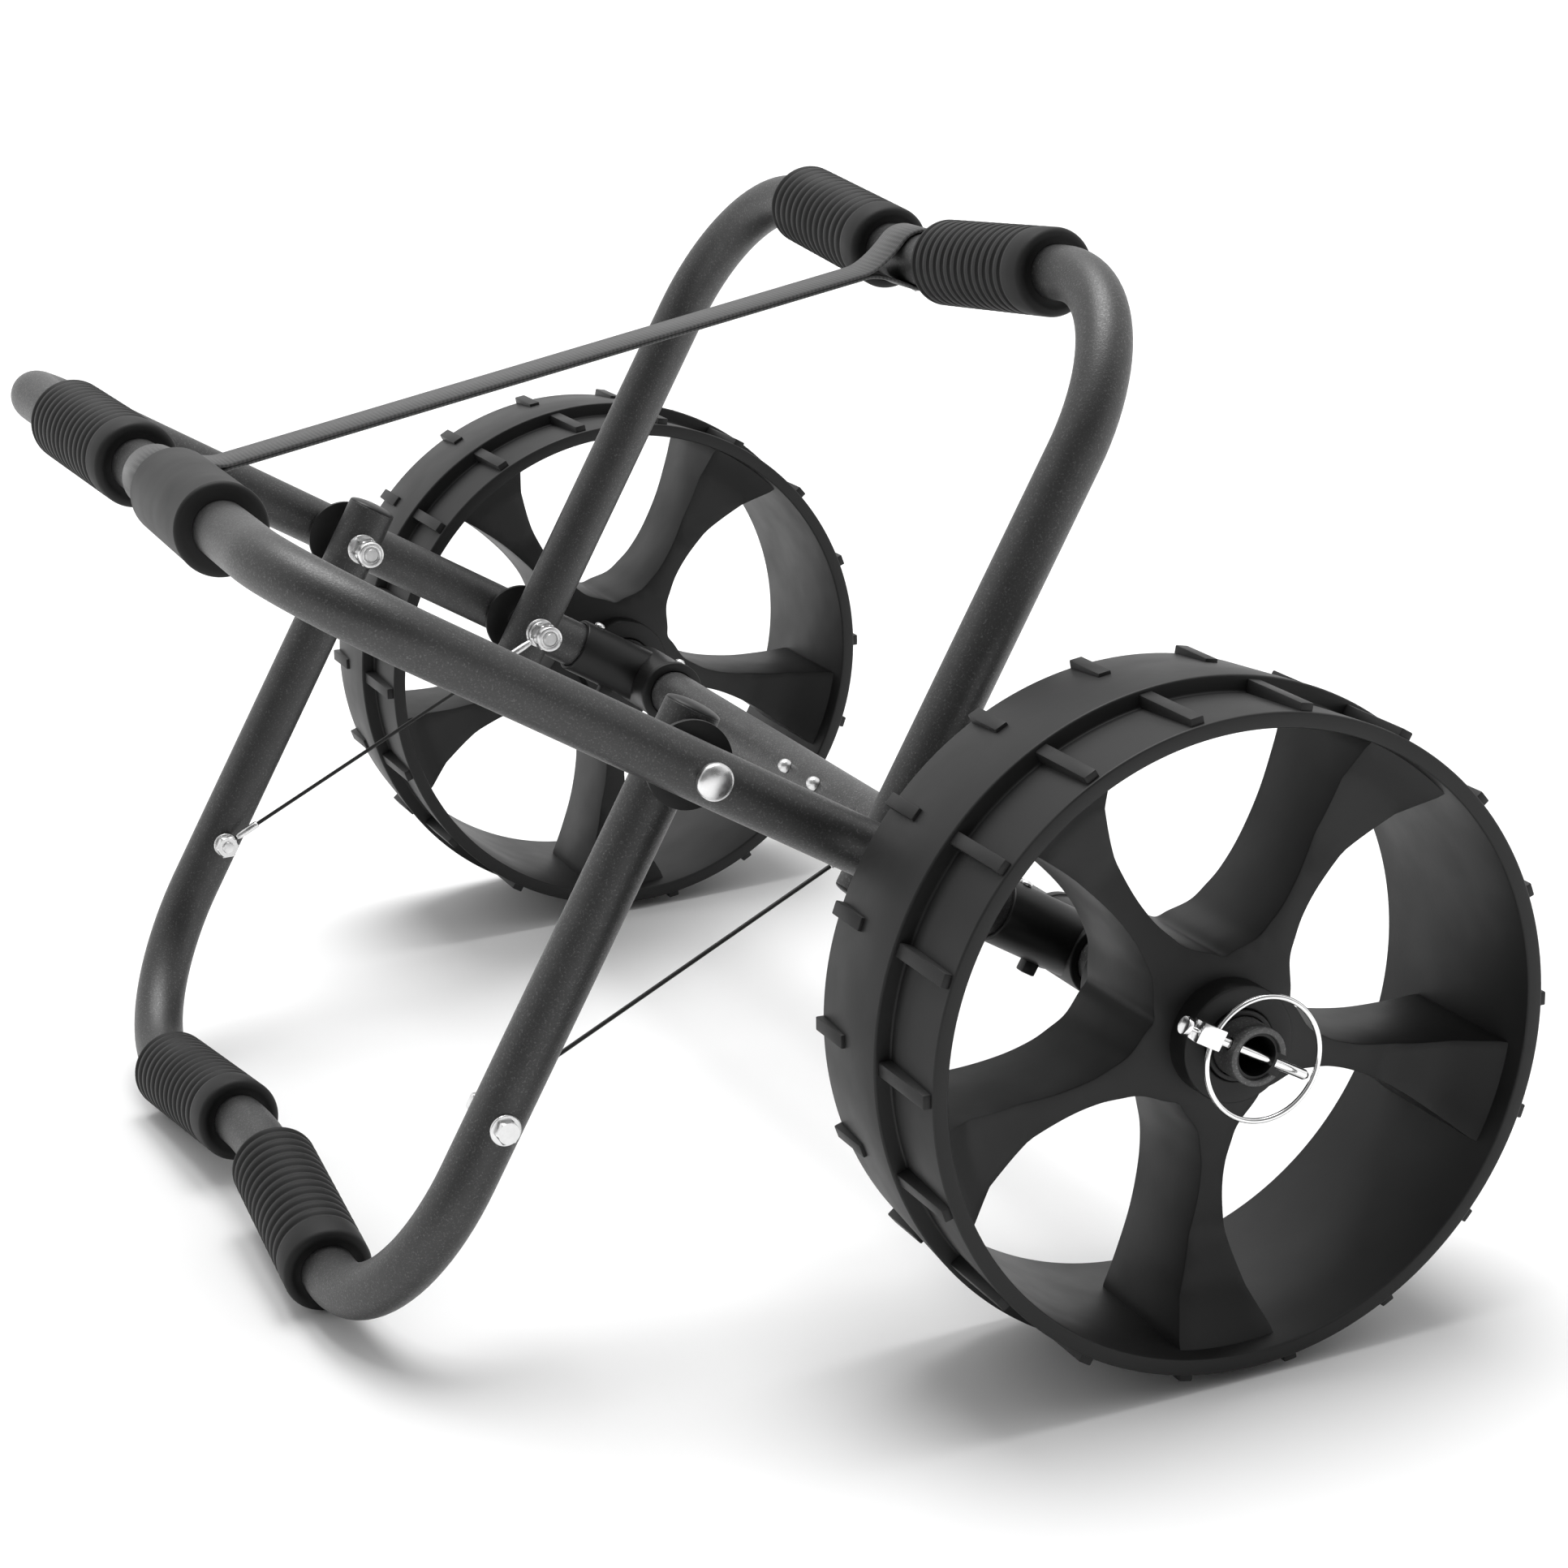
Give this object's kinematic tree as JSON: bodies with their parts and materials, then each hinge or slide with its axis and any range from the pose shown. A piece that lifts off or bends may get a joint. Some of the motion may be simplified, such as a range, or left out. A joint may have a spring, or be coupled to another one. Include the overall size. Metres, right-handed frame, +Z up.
{
  "type": "folding boat trolley",
  "caption": "Folding wheeled trolley: bent tube frame with padded bars, load arm, stand, webbing strap and large spoked wheels held by ring pins.",
  "frame": {"origin": "middle of the footprint, on the ground", "axes": "+Z up; Y along the wheels' axle, the near wheel at -Y; the main frame rises from the axle towards -X"},
  "size_m": [0.4956, 0.8306, 0.4392],
  "materials": {
    "powder_coat": "fine textured powder coat",
    "axle_powder_coat": "fine textured powder coat",
    "grip_rubber": "matte ribbed",
    "wheel_plastic": "matte moulded",
    "fitting_plastic": "satin moulded",
    "bolt_steel": "satin zinc plated",
    "pin_chrome": "bright",
    "strap_webbing": "woven webbing",
    "wire_coating": "black coated wire rope"
  },
  "bodies": {
    "main": {"main_frame_tube": "powder_coat", "axle_tube": "axle_powder_coat", "axle_post_1": "bolt_steel", "axle_post_2": "bolt_steel", "strap": "strap_webbing", "strap_tack": "bolt_steel", "main_grip_near": "grip_rubber", "axle_fitting_near": "fitting_plastic", "fitting_leg_screw_near": "bolt_steel", "fitting_boss_screw_near": "bolt_steel", "arm_spacer_near": "fitting_plastic", "stand_spacer_near": "fitting_plastic", "arm_pivot_bolt_near": "bolt_steel", "arm_pivot_washer_near": "bolt_steel", "arm_pivot_nut_near": "bolt_steel", "stand_pivot_bolt_near": "bolt_steel", "stand_pivot_washer_near": "bolt_steel", "stand_pivot_nut_near": "bolt_steel", "stay_wire_near": "wire_coating", "main_grip_far": "grip_rubber", "axle_fitting_far": "fitting_plastic", "fitting_leg_screw_far": "bolt_steel", "fitting_boss_screw_far": "bolt_steel", "arm_spacer_far": "fitting_plastic", "stand_spacer_far": "fitting_plastic", "arm_pivot_bolt_far": "bolt_steel", "arm_pivot_washer_far": "bolt_steel", "arm_pivot_nut_far": "bolt_steel", "stand_pivot_bolt_far": "bolt_steel", "stand_pivot_washer_far": "bolt_steel", "stand_pivot_nut_far": "bolt_steel", "stay_wire_far": "wire_coating"},
    "load_arm": {"load_arm_tube": "powder_coat", "load_arm_grip_near": "grip_rubber", "load_arm_grip_far": "grip_rubber"},
    "stand": {"stand_tube": "powder_coat", "stand_grip_near": "grip_rubber", "wire_bolt_near": "bolt_steel", "wire_nut_near": "bolt_steel", "stand_grip_far": "grip_rubber", "wire_bolt_far": "bolt_steel", "wire_nut_far": "bolt_steel"},
    "wheel_near": {"wheel_near": "wheel_plastic", "wheel_bush_near": "fitting_plastic"},
    "lock_pin_near": {"lock_pin_near": "pin_chrome"},
    "lock_ring_near": {"lock_ring_near": "pin_chrome"},
    "wheel_far": {"wheel_far": "wheel_plastic", "wheel_bush_far": "fitting_plastic"},
    "lock_pin_far": {"lock_pin_far": "pin_chrome"},
    "lock_ring_far": {"lock_ring_far": "pin_chrome"}
  },
  "joints": [
    {"name": "load_arm_fold", "type": "hinge", "parent": "main", "child": "load_arm", "pos_m": [0.02393, 0, 0.19596], "axis": [0, -1, 0], "range_deg": [0, 66], "deforming": ["strap"]},
    {"name": "stand_fold", "type": "hinge", "parent": "main", "child": "stand", "pos_m": [-0.0698, 0, 0.25653], "axis": [0, -1, 0], "range_deg": [0, 66], "deforming": ["stay_wire_near", "stay_wire_far"]},
    {"name": "wheel_near_spin", "type": "hinge", "parent": "main", "child": "wheel_near", "pos_m": [0.1028, -0.35, 0.145], "axis": [0, 1, 0], "continuous": true},
    {"name": "lock_pin_near_pull", "type": "slide", "parent": "main", "child": "lock_pin_near", "axis": [-0.8554, 0, 0.518], "range_m": [0, 0.05]},
    {"name": "lock_ring_near_swing", "type": "hinge", "parent": "lock_pin_near", "child": "lock_ring_near", "pos_m": [0.0827, -0.406, 0.15717], "axis": [-0.518, 0, -0.8554], "range_deg": [0, 110]},
    {"name": "wheel_far_spin", "type": "hinge", "parent": "main", "child": "wheel_far", "pos_m": [0.1028, 0.35, 0.145], "axis": [0, 1, 0], "continuous": true},
    {"name": "lock_pin_far_pull", "type": "slide", "parent": "main", "child": "lock_pin_far", "axis": [-0.8554, 0, 0.518], "range_m": [0, 0.05]},
    {"name": "lock_ring_far_swing", "type": "hinge", "parent": "lock_pin_far", "child": "lock_ring_far", "pos_m": [0.0827, 0.406, 0.15717], "axis": [0.518, 0, 0.8554], "range_deg": [0, 110]}
  ]
}
